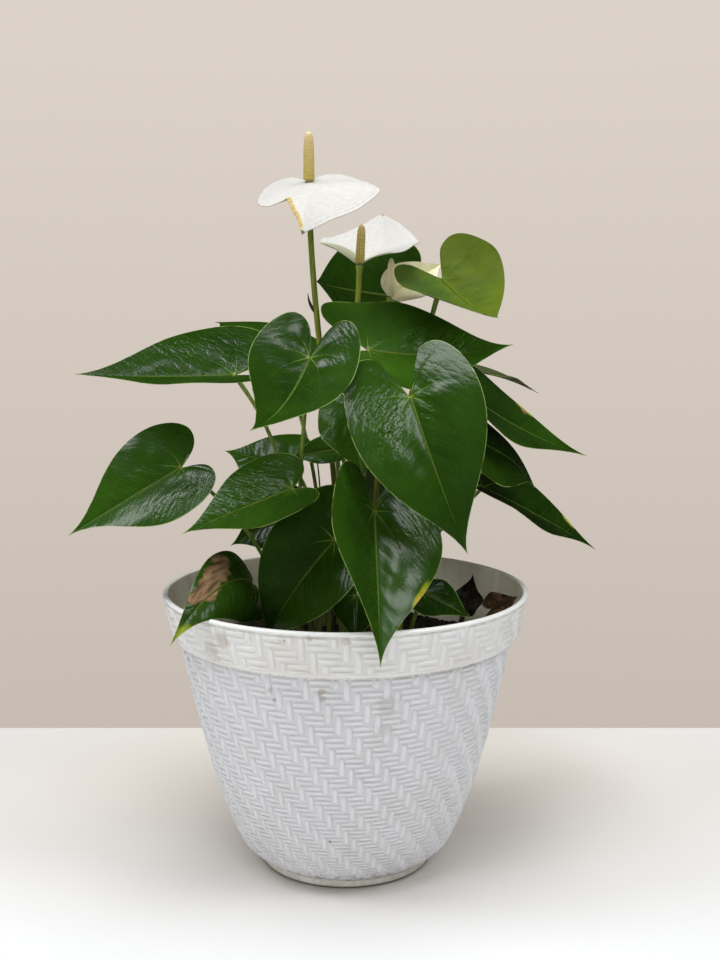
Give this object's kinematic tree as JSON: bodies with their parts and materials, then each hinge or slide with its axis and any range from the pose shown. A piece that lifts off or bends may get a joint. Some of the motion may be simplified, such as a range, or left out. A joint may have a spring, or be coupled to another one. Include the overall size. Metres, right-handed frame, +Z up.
{
  "type": "potted anthurium",
  "caption": "Anthurium with heart-shaped leaves and white blooms on long stems, growing in soil in a tapered plastic pot with a wide collar.",
  "frame": {"origin": "centre of the pot's underside, on the surface that it stands on", "axes": "+Z up through the pot's axis, -Y towards the plant's front, +X to its right as seen from the front"},
  "size_m": [0.3829, 0.3255, 0.519],
  "materials": {
    "pot": "cool white plastic, embossed basket weave, a little dusty",
    "soil": "dark potting soil, coarse and dull",
    "leaf": "glossy dark green leaf, paler veins and margin",
    "bloom_stem": "smooth green stem, satin",
    "spathe": "waxy white spathe, satin gloss",
    "spadix": "pale yellow spadix, dense matt florets",
    "dead_leaf": "dry brown leaf, dull and crisp"
  },
  "bodies": {
    "root": {"bloom_low_spadix": "spadix", "bloom_low_spathe": "spathe", "bloom_low_stem": "bloom_stem", "bloom_middle_spadix": "spadix", "bloom_middle_spathe": "spathe", "bloom_middle_stem": "bloom_stem", "bloom_tall_spadix": "spadix", "bloom_tall_spathe": "spathe", "bloom_tall_stem": "bloom_stem", "dead_leaf_brown": "dead_leaf", "dead_leaf_dark": "dead_leaf", "dry_stem": "bloom_stem", "leaf_back_left": "leaf", "leaf_back_low": "leaf", "leaf_back_middle": "leaf", "leaf_back_right": "leaf", "leaf_centre": "leaf", "leaf_centre_left": "leaf", "leaf_front": "leaf", "leaf_front_left": "leaf", "leaf_left_front": "leaf", "leaf_left_high": "leaf", "leaf_left_low": "leaf", "leaf_left_small": "leaf", "leaf_middle": "leaf", "leaf_pot_front": "leaf", "leaf_pot_left": "leaf", "leaf_pot_right": "leaf", "leaf_right_high": "leaf", "leaf_right_inner": "leaf", "leaf_right_low": "leaf", "leaf_right_mid": "leaf", "leaf_rim_left": "leaf", "leaf_top_back": "leaf", "leaf_top_right": "leaf", "leaf_young": "leaf", "pot": "pot", "soil": "soil", "young_shoot": "bloom_stem"}
  },
  "joints": []
}
